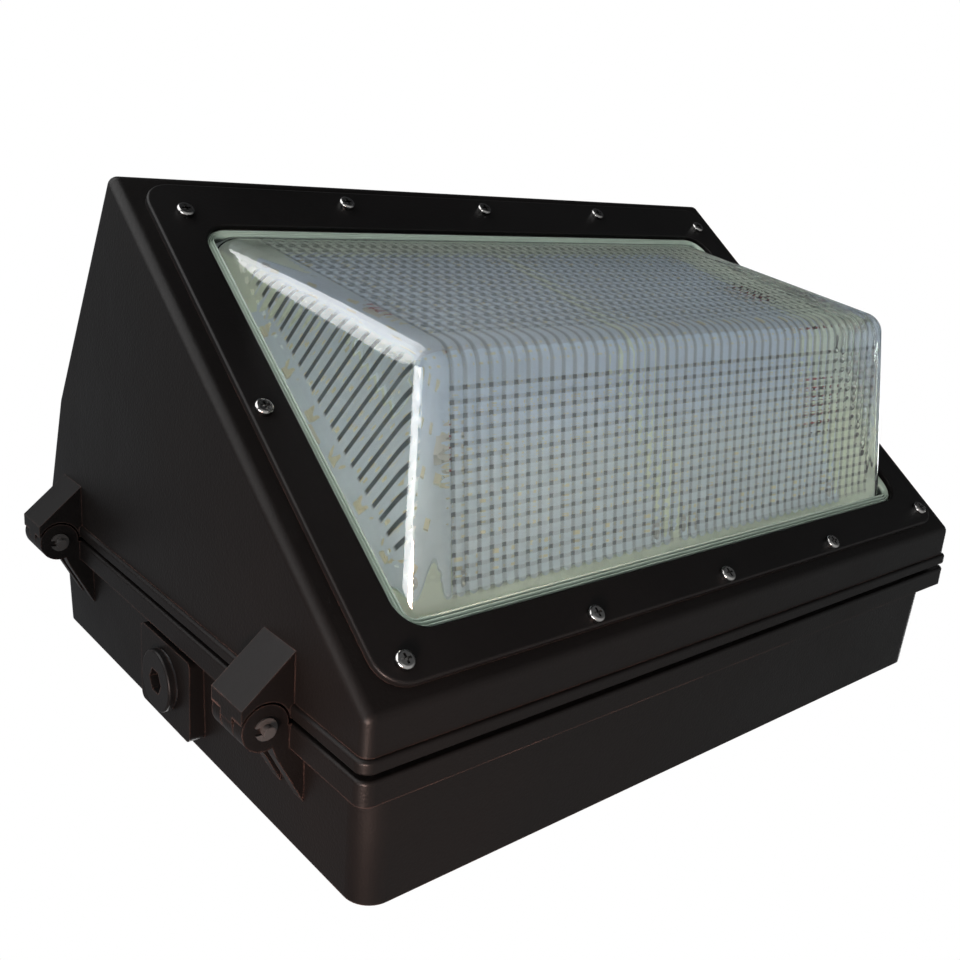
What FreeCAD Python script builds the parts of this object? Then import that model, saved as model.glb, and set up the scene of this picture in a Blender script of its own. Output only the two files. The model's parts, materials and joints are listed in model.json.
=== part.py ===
"""Wall pack light: a cast box on the wall, a hinged cast front with a tilted glass refractor.

Row frame: +Z up, the front faces -Y, and the origin is the centre of the face that lies on the wall.
Pieces are drawn in the wall frame (x right, y up, z = distance from the wall) and turned at export.
Pieces on the sloping face are drawn in the slope frame (x right, y up the slope, z = out of the face).
All sizes are in millimetres.
"""
import FreeCAD, Part
import math
import os

Vector = FreeCAD.Vector

past = 1.0                  # how far a cutter runs past the face it cuts, and a joint into its wall

# ---- back box ------------------------------------------------------------------------------------
flange_width = 360.0        # the seam's outline, the widest part of both castings
flange_height = 282.0
flange_corner = 5.0
flange_thick = 9.0
flange_edge_round = 1.4
box_depth = 54.0            # wall face to seam
box_overhang = 5.5          # flange edge to box wall, just behind the flange
box_draft = 1.5             # extra inset of the box wall at the wall face
box_corner = 10.0
box_wall = 4.0
back_wall = 4.0
seam_gap = 2.0              # held open by the gasket
box_gasket_width = 5.0
box_gasket_inset = 4.5      # flange edge to gasket
box_gasket_corner, box_gasket_inner_corner = 6.0, 3.0
box_gasket_groove = 2.0
wall_hole_radius = 3.25
wall_hole_x = 120.0
wall_hole_y = 90.0
wall_pad_radius = 9.0
wall_pad_height = 2.0
outlet_hole_radius = 2.6
outlet_hole_x = 44.45       # half of the 88.9 mm pair on a round outlet box
wire_hole_radius = 12.0
wire_grommet_bore = 8.0
wire_grommet_lip = 3.0
wire_grommet_lip_thick = 2.0
ground_x, ground_y = -60.0, -62.0
ground_boss_radius = 5.5
ground_boss_height = 8.0
ground_hole_floor = 2.0     # metal left under the blind hole
ground_washer_radius, ground_washer_thick = 5.0, 0.8
ground_head_radius, ground_head_thick = 4.0, 2.6

# ---- conduit hubs and their plugs ----------------------------------------------------------------
hub_depth = 25.5            # wall face to hub axis
hub_pad_half = 23.0
hub_pad_low, hub_pad_high = 7.0, 42.0
hub_pad_round = 3.0
hub_bore_radius = 9.2
hub_boss_radius = 14.0
hub_thread_length = 18.0
plug_clearance = 0.1
plug_shank = 11.0
plug_head_radius = 13.0
plug_head_thick = 3.0
plug_head_round = 1.0
plug_socket_flats = 9.5
plug_socket_depth = 4.5
plug_seal_thick = 1.0
plug_seal_inset = 0.8       # edge of the plug's head to the seal

# ---- front housing -------------------------------------------------------------------------------
rim_step = 1.5              # rim bead stands this far out of the housing walls
rim_bead = 5.0
rim_edge_round = 1.0
rim_inner_width = 12.0      # flange edge to the inside of the gasket land
skirt_depth = 17.5          # short wall below the sloping face
face_rise = 192.5           # height of the sloping face's top edge above its bottom edge
face_run = 146.5            # how much further from the wall its top edge is
knee_height = 258.0         # bend in the top wall, above the bottom edge
knee_depth = 116.0          # bend in the top wall, from the wall face
housing_wall = 4.0
housing_round = 4.0
land_thick = 7.0            # thickened frame behind the sloping face
land_half_width = 168.5
land_low, land_high = 5.5, 8.5   # land's margins to the face's bottom and top edges
land_corner = 6.0
land_bite = 0.5             # how far the land runs into the face

# ---- side lugs -----------------------------------------------------------------------------------
lug_reach = 17.6            # how far the lugs stand out of the flange
lug_apex_depth = 80.0
lug_tip_depth = 63.5
lug_low_height = 42.5       # lower lug's low side, above the bottom edge
lug_high_height = 254.0     # upper lug's high side, above the bottom edge
ear_width = 6.0
knuckle_width = 8.0
lug_side_gap = 0.5
pivot_inset = 8.6           # pivot axis to the lug's outer face
pivot_height_over_flange = 1.0
ear_radius = 8.4
ear_clearance = 0.8
lug_root_depth = 22.0       # where the box lugs run out into the box wall
lug_root_bite = 0.5         # how far their roots run into the box wall
box_lug_lip = 6.0           # straight side of the closure lug, below the seam
box_lug_draw_in = 13.0      # how far its underside then draws in
box_lug_tail = 4.0          # from there to its root, in depth
web_start_x, web_start_drop = 0.30, 0.93   # where the hinge web leaves the ear, in ear radii
web_low_x, web_low_drop = 4.5, 13.0        # the web's low corner, from the pivot axis
lug_seam_inset = 0.1        # the hinge webs stop this far short of the seam
pin_radius = 2.0
pin_running_gap = 0.06
pin_head_radius = 3.6
pin_head_thick = 1.6
pin_tail = 3.2
clip_groove_radius = 1.5
clip_thick = 0.8
clip_radius = 4.0
clip_mouth_share = 0.9      # mouth width, in groove diameters

# ---- closure screws ------------------------------------------------------------------------------
closure_inset = 10.5        # screw axis to the lug's outer face
closure_shank_radius = 3.0
closure_running_gap = 0.08
closure_thread_gap = 0.8
closure_head_radius = 5.5
closure_head_thick = 4.0
closure_head_round = 1.2
closure_tip_chamfer = 0.6
closure_seat_depth = 66.0
closure_seat_radius = 6.6
closure_tip_depth = 38.0
closure_slot_width = 1.4
closure_slot_depth = 1.8
ring_depth = 45.0
ring_thick = 1.0
ring_radius = 4.8
ring_room = 0.8
ring_well_depth = 44.0

# ---- bezel, glass and their seals (slope frame, margins to the sloping face's edges) -------------
bezel_half_width = 169.5
bezel_low, bezel_high = 7.8, 8.6
bezel_corner = 12.0
bezel_thick = 2.6
bezel_edge_round = 1.0
window_half_width = 153.0
window_low, window_high = 24.7, 31.5
window_corner = 12.0
glass_clamp = 4.5           # how far the glass flange reaches under the bezel
glass_flange_thick = 4.0
glass_wall = 4.5
foot_half_width = 148.0     # the glass body where it leaves the bezel window
foot_low, foot_high = 30.0, 35.5
ridge_up_slope = 91.5       # ridge line, from the sloping face's bottom edge
ridge_height = 62.0
ridge_half_length = 140.5
glass_round = 10.5
lens_seal_low_thick = 1.5
lens_seal_high_thick = 1.1
seal_side_gap = 0.5
lens_seal_setback = 1.5     # opening's edge to the lower seal
lens_seal_corner = 10.0
opening_half_width = 146.5
opening_low, opening_high = 31.5, 37.0
opening_corner = 8.0

# ---- bezel screws --------------------------------------------------------------------------------
bezel_screw_radius = 1.95
bezel_screw_gap = 0.2
bezel_screw_length = 9.0
bezel_hole_spare = 0.3      # hole left under the screw's tip
bezel_head_radius = 3.5
bezel_head_thick = 2.3
cross_width, cross_length, cross_depth = 0.9, 3.8, 1.3
head_round_share = 0.45     # rounding of a pan head, in head heights
shank_bite = 0.5            # how far a shank runs into its head
screw_row_low, screw_row_high = 11.9, 17.2
screw_middle_x_low, screw_middle_x_high = 76.5, 78.8
screw_corner_x_low, screw_corner_x_high = 159.0, 156.4
screw_corner_step_low, screw_corner_step_high = 3.7, 7.7   # from their row towards the middle
screw_side_x = 164.2

# ---- light engine (slope frame) ------------------------------------------------------------------
sheet = 1.2
tray_depth = 15.0
tray_slant = 12.0
tray_flange_half_width = 168.0
tray_flange_low, tray_flange_high = 12.0, 21.0
tray_flange_corner = 8.0
tray_floor_step = 1.0       # room between the opening's edge and the tray's slanted walls
tray_screw_x = 164.5
tray_screw_low, tray_screw_high = 65.0, 172.0
small_screw_radius = 1.45
small_head_radius = 2.8
small_head_thick = 2.0
small_screw_gap = 0.2       # room around the shank in a clearance hole
small_end_room = 0.2        # room under the tip in a blind hole
tray_screw_bite = 6.5       # thread in the land
spreader_thick = 4.0
spreader_half_width = 122.5
spreader_corner = 5.0
spreader_skin = 0.3         # metal left over the blind screw holes
spreader_margin = 6.0       # tray floor's edge to heat spreader
board_thick = 1.6
board_corner = 2.0
board_screw_inset = 5.5
board_gap = 8.0
board_half_span = 122.5
board_margin = 8.0          # tray floor's edge to boards
emitter_size, emitter_thick = 5.0, 1.0
emitter_columns, emitter_rows = 6, 6
bracket_thick = 1.5
bracket_half_length = 122.0
bracket_half_width = 33.0
bracket_corner = 3.0
bracket_screw_inset_x, bracket_screw_inset_y = 8.0, 7.0
bracket_lip_thick, bracket_lip_height = 1.5, 8.0
bracket_lip_gap = 0.3       # lip to the driver's side
driver_half_length = 75.0
driver_half_width = 28.0
driver_thick = 32.0
driver_corner = 2.5
driver_tab_length = 13.0
driver_tab_half_width, driver_tab_thick = 9.0, 1.5
terminal_x, terminal_length = 92.0, 18.0
terminal_width, terminal_thick = 34.0, 16.0
terminal_ways = 3
terminal_edge_round = 0.8
terminal_well_radius, terminal_well_depth = 2.6, 5.0
terminal_port_radius, terminal_port_depth = 2.2, 7.0
terminal_screw_radius, terminal_screw_thick = 2.4, 2.5
terminal_slot_width, terminal_slot_depth = 0.8, 0.9
lead_radius = 0.9
lead_spacing = 3.0
lead_x = 128.0
lead_driver_offset = 24.0   # lead's outlet, behind the driver's base
lead_board_height = 3.5     # lead over the board at its connector
lead_bend_share = 0.45      # share of the shorter straight that a bend takes up
connector_length, connector_width, connector_thick = 8.0, 9.0, 5.5
connector_edge_round = 0.6
connector_inset = 8.0       # board's outer edge to the connector
grommet_radius, grommet_bore = 4.5, 2.8
grommet_lip, grommet_lip_thick = 1.0, 1.0

# ---- worked-out sizes ---------------------------------------------------------------------------------
half_width = flange_width / 2
half_height = flange_height / 2
rim_depth = box_depth + seam_gap
face_low_depth = rim_depth + skirt_depth
slope_length = math.hypot(face_rise, face_run)
slope_angle = math.degrees(math.atan2(face_run, face_rise))
slope_place = FreeCAD.Placement(
    Vector(0, -half_height, face_low_depth), FreeCAD.Rotation(Vector(1, 0, 0), slope_angle))
box_half_width = half_width - box_overhang - box_draft
box_half_height = half_height - box_overhang - box_draft
lug_x = half_width + lug_reach
pivot_x = -(lug_x - pivot_inset)
pivot_depth = box_depth + pivot_height_over_flange
lug_width = 2 * ear_width + knuckle_width + 2 * lug_side_gap
lug_spans = {
    "lower": (lug_low_height - half_height, lug_low_height - half_height + lug_width),
    "upper": (lug_high_height - half_height - lug_width, lug_high_height - half_height),
}
closure_x = lug_x - closure_inset
tray_floor = -housing_wall - land_thick - tray_depth
mid_slope = (opening_low + slope_length - opening_high) / 2


def box(x0, x1, y0, y1, z0, z1):
    return Part.makeBox(x1 - x0, y1 - y0, z1 - z0, Vector(x0, y0, z0))


def cylinder(radius, start, end):
    run = end - start
    return Part.makeCylinder(radius, run.Length, start, run)


def rod(radius, x, y, z0, z1):
    return cylinder(radius, Vector(x, y, z0), Vector(x, y, z1))


def rounded_wire(x0, x1, y0, y1, radius, z):
    """Closed outline of a rectangle with round corners."""
    centres = [(x1 - radius, y1 - radius, 0), (x0 + radius, y1 - radius, 90),
               (x0 + radius, y0 + radius, 180), (x1 - radius, y0 + radius, 270)]

    def on_arc(centre, degrees):
        angle = math.radians(degrees)
        return Vector(centre[0] + radius * math.cos(angle), centre[1] + radius * math.sin(angle), z)

    edges = []
    for index, centre in enumerate(centres):
        following = centres[(index + 1) % 4]
        start, middle, end = (on_arc(centre, centre[2] + turn) for turn in (0, 45, 90))
        edges.append(Part.Arc(start, middle, end).toShape())
        edges.append(Part.LineSegment(end, on_arc(following, following[2])).toShape())
    return Part.Wire(edges)


def plate(x0, x1, y0, y1, radius, z0, z1):
    face = Part.Face(rounded_wire(x0, x1, y0, y1, radius, z0))
    return face.extrude(Vector(0, 0, z1 - z0))


def frustum(half_x0, half_y0, r0, z0, half_x1, half_y1, r1, z1):
    low = rounded_wire(-half_x0, half_x0, -half_y0, half_y0, r0, z0)
    high = rounded_wire(-half_x1, half_x1, -half_y1, half_y1, r1, z1)
    return Part.makeLoft([low, high], True, True)


def prism_x(points, x0, x1):
    """Solid from an outline in (y, z), drawn out along x."""
    corners = [Vector(x0, y, z) for y, z in points]
    face = Part.Face(Part.makePolygon(corners + corners[:1]))
    return face.extrude(Vector(x1 - x0, 0, 0))


def prism_y(points, y0, y1):
    """Solid from an outline in (x, z), drawn out along y."""
    corners = [Vector(x, y0, z) for x, z in points]
    face = Part.Face(Part.makePolygon(corners + corners[:1]))
    return face.extrude(Vector(0, y1 - y0, 0))


def inset_outline(points, distance):
    """The outline moved inwards by one distance; the points run clockwise or anticlockwise."""
    count = len(points)
    area = sum(points[i][0] * points[(i + 1) % count][1] - points[(i + 1) % count][0] * points[i][1]
               for i in range(count))
    side = 1 if area > 0 else -1
    lines = []
    for i in range(count):
        (ax, ay), (bx, by) = points[i], points[(i + 1) % count]
        length = math.hypot(bx - ax, by - ay)
        nx, ny = -(by - ay) / length * side, (bx - ax) / length * side
        lines.append((nx, ny, nx * ax + ny * ay + distance))
    inner = []
    for i in range(count):
        (a1, b1, c1), (a2, b2, c2) = lines[i - 1], lines[i]
        turn = a1 * b2 - a2 * b1
        inner.append(((c1 * b2 - c2 * b1) / turn, (a1 * c2 - a2 * c1) / turn))
    return inner


def on_slope(shape):
    """Moves a shape from the slope frame to the wall frame."""
    placed = shape.copy()
    placed.Placement = slope_place.multiply(placed.Placement)
    return placed


def mirror_x(shape):
    return shape.mirror(Vector(0, 0, 0), Vector(1, 0, 0))


def to_top_hub(shape):
    """Moves a shape drawn at the left hub to the hub in the top wall."""
    moved = shape.copy()
    moved.rotate(Vector(0, 0, 0), Vector(0, 0, 1), -90)
    moved.translate(Vector(0, half_height - half_width, 0))
    return moved


def edges_along(shape, axis):
    chosen = []
    for edge in shape.Edges:
        if len(edge.Vertexes) == 2:
            run = edge.Vertexes[1].Point - edge.Vertexes[0].Point
            if run.Length > 0 and abs(run.normalize().dot(axis)) > 0.999:
                chosen.append(edge)
    return chosen


def edges_at_depth(shape, z):
    return [e for e in shape.Edges
            if abs(e.BoundBox.ZMin - z) < 1e-4 and abs(e.BoundBox.ZMax - z) < 1e-4]


def fuse_all(shapes):
    return shapes[0].multiFuse(shapes[1:]).removeSplitter() if len(shapes) > 1 else shapes[0]


def export(name, shape):
    solids = shape.Solids
    turned = Part.makeCompound(solids) if len(solids) > 1 else solids[0].copy()
    turned.rotate(Vector(0, 0, 0), Vector(1, 0, 0), 90)
    turned.exportStep("parts/" + name + ".step")
    print(name, len(solids), "solid(s)", round(shape.Volume / 1000, 2), "cm3")


# ---- screws shared by several sub-parts ------------------------------------------------------------------
def cross_recess(x, y, top):
    half_long, half_short = cross_length / 2, cross_width / 2
    floor = top - cross_depth
    bars = [box(x - half_long, x + half_long, y - half_short, y + half_short, floor, top + past),
            box(x - half_short, x + half_short, y - half_long, y + half_long, floor, top + past)]
    return fuse_all(bars)


def pan_screw(x, y, seat, head_radius, head_thick, shank_radius, tip):
    """A screw along z whose head rests on the seat; tip is the z of its far end."""
    up = 1 if tip < seat else -1
    head = rod(head_radius, x, y, 0, head_thick)
    head = head.makeFillet(head_thick * head_round_share, edges_at_depth(head, head_thick))
    head = head.cut(cross_recess(x, y, head_thick))
    if up < 0:
        head.rotate(Vector(x, y, 0), Vector(1, 0, 0), 180)
    head.translate(Vector(0, 0, seat))
    root = seat + up * shank_bite
    shank = rod(shank_radius, x, y, min(tip, root), max(tip, root))
    return head.fuse(shank).removeSplitter()


# ---- back box ------------------------------------------------------------------------------------
def hub_shapes():
    """Pads, bosses and bores of the three conduit hubs: left, right and top."""
    reach = half_width
    pad = box(-reach, -box_half_width + past, -hub_pad_half, hub_pad_half, hub_pad_low, hub_pad_high)
    pad = pad.makeFillet(hub_pad_round, edges_along(pad, Vector(1, 0, 0)))
    boss = cylinder(hub_boss_radius, Vector(-reach + past, 0, hub_depth),
                    Vector(-reach + hub_thread_length, 0, hub_depth))
    bore = cylinder(hub_bore_radius, Vector(-reach - past, 0, hub_depth),
                    Vector(-reach + hub_thread_length + past, 0, hub_depth))
    solids, bores = [], []
    for shape, store in ((pad, solids), (boss, solids), (bore, bores)):
        store.extend([shape, mirror_x(shape), to_top_hub(shape)])
    return solids, bores


def box_lugs():
    """Hinge ears on the left and closure lugs on the right of the back box."""
    root_x = -half_width + box_overhang + lug_root_bite
    web = [(pivot_x + ear_radius - past, box_depth - lug_seam_inset),
           (pivot_x + ear_radius * web_start_x, pivot_depth - ear_radius * web_start_drop),
           (pivot_x + web_low_x, pivot_depth - web_low_drop), (root_x, lug_root_depth),
           (root_x, box_depth - flange_thick), (-half_width + past, box_depth - past),
           (-half_width + past, box_depth - lug_seam_inset)]
    closure = [(root_x, box_depth), (-lug_x, box_depth), (-lug_x, box_depth - box_lug_lip),
               (-lug_x + box_lug_draw_in, lug_root_depth + box_lug_tail), (root_x, lug_root_depth)]
    lugs = []
    for low, high in lug_spans.values():
        for y0, y1 in ((low, low + ear_width), (high - ear_width, high)):
            lugs.append(cylinder(ear_radius, Vector(pivot_x, y0, pivot_depth),
                                 Vector(pivot_x, y1, pivot_depth)))
            lugs.append(prism_y(web, y0, y1))
        lugs.append(mirror_x(prism_y(closure, low, high)))
    return lugs


def box_cuts():
    """Everything that is cut out of the finished box: bores, groove, screw holes and wells."""
    pad_top = back_wall + wall_pad_height
    ground_top = back_wall + ground_boss_height
    cuts = [box_gasket_ring(box_depth - box_gasket_groove, box_depth + past),
            rod(wire_hole_radius, 0, 0, -past, back_wall + past),
            rod(small_screw_radius, ground_x, ground_y, back_wall + ground_hole_floor, ground_top + past)]
    cuts += [rod(wall_hole_radius, x, y, -past, pad_top + past) for x, y in wall_hole_places()]
    cuts += [rod(outlet_hole_radius, x, 0, -past, back_wall + past) for x in (-outlet_hole_x, outlet_hole_x)]
    for low, high in lug_spans.values():
        middle = (low + high) / 2
        cuts.append(cylinder(pin_radius, Vector(pivot_x, low - past, pivot_depth),
                             Vector(pivot_x, high + past, pivot_depth)))
        cuts.append(rod(closure_shank_radius + closure_thread_gap, closure_x, middle, 0, box_depth + past))
        cuts.append(rod(ring_radius + ring_room, closure_x, middle, ring_well_depth, box_depth + past))
    return cuts


def wall_hole_places():
    return [(x, y) for x in (-wall_hole_x, wall_hole_x) for y in (-wall_hole_y, wall_hole_y)]


def make_back_box():
    wall_top = box_depth - flange_thick / 2
    body = frustum(box_half_width, box_half_height, box_corner, 0,
                   half_width - box_overhang, half_height - box_overhang, box_corner, wall_top)
    flange = plate(-half_width, half_width, -half_height, half_height, flange_corner,
                   box_depth - flange_thick, box_depth)
    flange = flange.makeFillet(flange_edge_round, edges_at_depth(flange, box_depth))
    hub_solids, hub_bores = hub_shapes()
    outer = fuse_all([body, flange] + hub_solids + box_lugs())

    pocket = plate(-box_half_width + box_wall, box_half_width - box_wall,
                   -box_half_height + box_wall, box_half_height - box_wall,
                   box_corner - box_wall / 2, back_wall, box_depth + past)
    # the hub bosses keep their thread inside the pocket
    bosses = [s.common(pocket) for s in hub_solids]
    pads = [rod(wall_pad_radius, x, y, back_wall, back_wall + wall_pad_height) for x, y in wall_hole_places()]
    ground = rod(ground_boss_radius, ground_x, ground_y, back_wall, back_wall + ground_boss_height)
    inner = [s for s in bosses if s.Volume > 0] + pads + [ground]
    shell = outer.cut(pocket).fuse(inner)
    return shell.cut(hub_bores + box_cuts()).removeSplitter()


def box_gasket_ring(z0, z1):
    outer_inset, inner_inset = box_gasket_inset, box_gasket_inset + box_gasket_width
    outer = plate(-half_width + outer_inset, half_width - outer_inset, -half_height + outer_inset,
                  half_height - outer_inset, box_gasket_corner, z0, z1)
    inner = plate(-half_width + inner_inset, half_width - inner_inset, -half_height + inner_inset,
                  half_height - inner_inset, box_gasket_inner_corner, z0 - past, z1 + past)
    return outer.cut(inner)


def make_box_gasket():
    return box_gasket_ring(box_depth - box_gasket_groove, rim_depth)


def make_wire_grommet():
    lip = wire_hole_radius + wire_grommet_lip
    top = back_wall + wire_grommet_lip_thick
    inside = rod(lip, 0, 0, back_wall, top)
    neck = rod(wire_hole_radius, 0, 0, 0, back_wall)
    return inside.fuse(neck).cut(rod(wire_grommet_bore, 0, 0, -past, top + past))


def make_ground_screw():
    seat = back_wall + ground_boss_height
    top = seat + ground_washer_thick
    washer = rod(ground_washer_radius, ground_x, ground_y, seat, top)
    washer = washer.cut(rod(small_screw_radius, ground_x, ground_y, seat - past, top + past))
    screw = pan_screw(ground_x, ground_y, top, ground_head_radius, ground_head_thick,
                      small_screw_radius, back_wall + ground_hole_floor + small_end_room)
    return screw, washer


def hexagon(flats):
    reach = flats / 2 / math.cos(math.radians(30))
    points = [Vector(0, reach * math.cos(math.radians(60 * i)), reach * math.sin(math.radians(60 * i)))
              for i in range(6)]
    return Part.Face(Part.makePolygon(points + points[:1]))


def make_plug_left():
    face = -half_width
    seat = face - plug_seal_thick
    head = cylinder(plug_head_radius, Vector(seat - plug_head_thick, 0, 0), Vector(seat, 0, 0))
    front = [e for e in head.Edges if abs(e.BoundBox.XMax - (seat - plug_head_thick)) < 1e-4]
    head = head.makeFillet(plug_head_round, front)
    shank = cylinder(hub_bore_radius - plug_clearance, Vector(seat - past, 0, 0),
                     Vector(face + plug_shank, 0, 0))
    socket = hexagon(plug_socket_flats).extrude(Vector(plug_socket_depth + past, 0, 0))
    socket.translate(Vector(seat - plug_head_thick - past, 0, 0))
    plug = head.fuse(shank).cut(socket).removeSplitter()
    seal = cylinder(plug_head_radius - plug_seal_inset, Vector(seat, 0, 0), Vector(face, 0, 0))
    seal = seal.cut(cylinder(hub_bore_radius, Vector(seat - past, 0, 0), Vector(face + past, 0, 0)))
    for shape in (plug, seal):
        shape.translate(Vector(0, 0, hub_depth))
    return plug, seal


# ---- front housing -------------------------------------------------------------------------------
def housing_outline():
    """Outline of the front housing's walls in (y, z), inside the rim bead."""
    low, high = -half_height + rim_step, half_height - rim_step
    top_edge = (face_rise - half_height, face_low_depth + face_run)
    return [(low, rim_depth), (low, face_low_depth + rim_step * face_run / face_rise), top_edge,
            (knee_height - half_height, knee_depth), (high, rim_depth)]


def slope_rect(half_x, low, high, radius, z0, z1):
    """Plate in the slope frame, from margins to the face's bottom and top edges."""
    return plate(-half_x, half_x, low, slope_length - high, radius, z0, z1)


def screw_places():
    """The twelve bezel screws in the slope frame."""
    low, high = screw_row_low, slope_length - screw_row_high
    places = [(x, low) for x in (-screw_middle_x_low, 0.0, screw_middle_x_low)]
    places += [(x, high) for x in (-screw_middle_x_high, 0.0, screw_middle_x_high)]
    places += [(x, low + screw_corner_step_low) for x in (-screw_corner_x_low, screw_corner_x_low)]
    places += [(x, high - screw_corner_step_high) for x in (-screw_corner_x_high, screw_corner_x_high)]
    places += [(x, (low + high) / 2) for x in (-screw_side_x, screw_side_x)]
    return places


def tray_screw_tip():
    """Slope-frame z of the ends of the tray screws, inside the land."""
    return -housing_wall - land_thick + tray_screw_bite


def tray_screw_places():
    return [(x, y) for x in (-tray_screw_x, tray_screw_x) for y in (tray_screw_low, tray_screw_high)]


def housing_lugs():
    """Hinge knuckles on the left, and gussets over all four lugs."""
    wall_x = -half_width + rim_step
    gusset = [(wall_x + past, lug_apex_depth), (wall_x, lug_apex_depth), (-lug_x, lug_tip_depth),
              (-lug_x, rim_depth), (wall_x + past, rim_depth)]
    lugs = []
    for low, high in lug_spans.values():
        left = prism_y(gusset, low, high)
        knuckle_low = low + ear_width + lug_side_gap
        knuckle = cylinder(ear_radius, Vector(pivot_x, knuckle_low, pivot_depth),
                           Vector(pivot_x, knuckle_low + knuckle_width, pivot_depth))
        lugs += [left, mirror_x(left), knuckle]
    return lugs


def housing_lug_cuts():
    """Pin bores, room for the box's ears, and the closure screws' holes and seats."""
    cuts = []
    for low, high in lug_spans.values():
        cuts.append(cylinder(pin_radius + pin_running_gap, Vector(pivot_x, low - past, pivot_depth),
                             Vector(pivot_x, high + past, pivot_depth)))
        inner_low, inner_high = low + ear_width + lug_side_gap, high - ear_width - lug_side_gap
        for y0, y1 in ((low - past, inner_low), (inner_high, high + past)):
            cuts.append(cylinder(ear_radius + ear_clearance, Vector(pivot_x, y0, pivot_depth),
                                 Vector(pivot_x, y1, pivot_depth)))
        middle = (low + high) / 2
        cuts.append(rod(closure_shank_radius + closure_running_gap, closure_x, middle,
                        rim_depth - past, lug_apex_depth))
        cuts.append(rod(closure_seat_radius, closure_x, middle, closure_seat_depth, lug_apex_depth + past))
    return cuts


def face_cuts():
    """The glass seat, the light opening and the screw holes of the sloping face."""
    above = bezel_thick
    spread = glass_clamp + seal_side_gap
    seat = slope_rect(window_half_width + spread, window_low - spread, window_high - spread,
                      window_corner + seal_side_gap, seat_depth(), above)
    under_land = -housing_wall - land_thick - past
    opening = slope_rect(opening_half_width, opening_low, opening_high, opening_corner, under_land, above)
    cuts = [seat, opening]
    cuts += [rod(bezel_screw_radius, x, y, -bezel_screw_length - bezel_hole_spare, above)
             for x, y in screw_places()]
    cuts += [rod(small_screw_radius, x, y, under_land, tray_screw_tip() + small_end_room)
             for x, y in tray_screw_places()]
    return [on_slope(cut) for cut in cuts]


def make_front_housing():
    outline = housing_outline()
    wall_x = half_width - rim_step
    bead_top = rim_depth + rim_bead
    outer = prism_x(outline, -wall_x, wall_x)
    round_edges = [e for e in outer.Edges if e.BoundBox.ZMax > rim_depth + past]
    outer = outer.makeFillet(housing_round, round_edges)
    bead = plate(-half_width, half_width, -half_height, half_height, flange_corner, rim_depth, bead_top)
    bead = bead.makeFillet(flange_edge_round, edges_at_depth(bead, bead_top))
    bead = bead.makeFillet(rim_edge_round, edges_at_depth(bead, rim_depth))
    outer = fuse_all([outer, bead] + housing_lugs())

    inner = prism_x(inset_outline(outline, housing_wall), -wall_x + housing_wall, wall_x - housing_wall)
    mouth = plate(-half_width + rim_inner_width, half_width - rim_inner_width,
                  -half_height + rim_inner_width, half_height - rim_inner_width,
                  flange_corner, rim_depth - past, bead_top)
    inner = inner.cut(box(-half_width, half_width, -half_height, half_height, rim_depth - past, bead_top))
    shell = outer.cut(inner).cut(mouth)
    land = slope_rect(land_half_width, land_low, land_high, land_corner,
                      -housing_wall - land_thick, -housing_wall + land_bite)
    shell = shell.fuse(on_slope(land).common(inner.fuse(shell)))
    return shell.cut(face_cuts() + housing_lug_cuts()).removeSplitter()


# ---- bezel, glass and seals ----------------------------------------------------------------------
def seat_depth():
    """Slope-frame z of the ledge that carries the glass."""
    return -(lens_seal_high_thick + glass_flange_thick + lens_seal_low_thick)


def make_bezel():
    body = slope_rect(bezel_half_width, bezel_low, bezel_high, bezel_corner, 0, bezel_thick)
    window = slope_rect(window_half_width, window_low, window_high, window_corner, -past, bezel_thick + past)
    body = body.cut(window)
    body = body.makeFillet(bezel_edge_round, edges_at_depth(body, bezel_thick))
    holes = [rod(bezel_screw_radius + bezel_screw_gap, x, y, -past, bezel_thick + past)
             for x, y in screw_places()]
    return on_slope(body.cut(holes))


def make_bezel_screws():
    screws = [pan_screw(x, y, bezel_thick, bezel_head_radius, bezel_head_thick, bezel_screw_radius,
                        -bezel_screw_length) for x, y in screw_places()]
    return on_slope(Part.makeCompound(screws))


def wedge(inset, floor):
    """The glass body as a closed wedge, its faces moved inwards by inset, cut flat at floor."""
    low, high = foot_low, slope_length - foot_high
    lean = math.atan2(foot_half_width - ridge_half_length, ridge_height)
    front = math.atan2(ridge_height, ridge_up_slope - low)
    back = math.atan2(ridge_height, high - ridge_up_slope)
    inner_low = low + inset / math.sin(front)
    inner_high = high - inset / math.sin(back)
    top = (inner_high - inner_low) * math.tan(front) * math.tan(back) / (math.tan(front) + math.tan(back))
    ridge_y = inner_low + top / math.tan(front)

    def half_at(z):
        return foot_half_width - inset / math.cos(lean) - z * math.tan(lean)

    y0, y1 = inner_low + floor / math.tan(front), inner_high - floor / math.tan(back)
    wide, narrow = half_at(floor), half_at(top)
    a, b, c, d = (Vector(x, y, floor) for x, y in ((-wide, y0), (wide, y0), (wide, y1), (-wide, y1)))
    left, right = Vector(-narrow, ridge_y, top), Vector(narrow, ridge_y, top)
    loops = [(a, d, c, b), (a, b, right, left), (c, d, left, right), (b, c, right), (d, a, left)]
    faces = [Part.Face(Part.makePolygon(list(loop) + [loop[0]])) for loop in loops]
    solid = Part.Solid(Part.Shell(faces))
    return solid if solid.Volume > 0 else solid.reversed()


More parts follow.
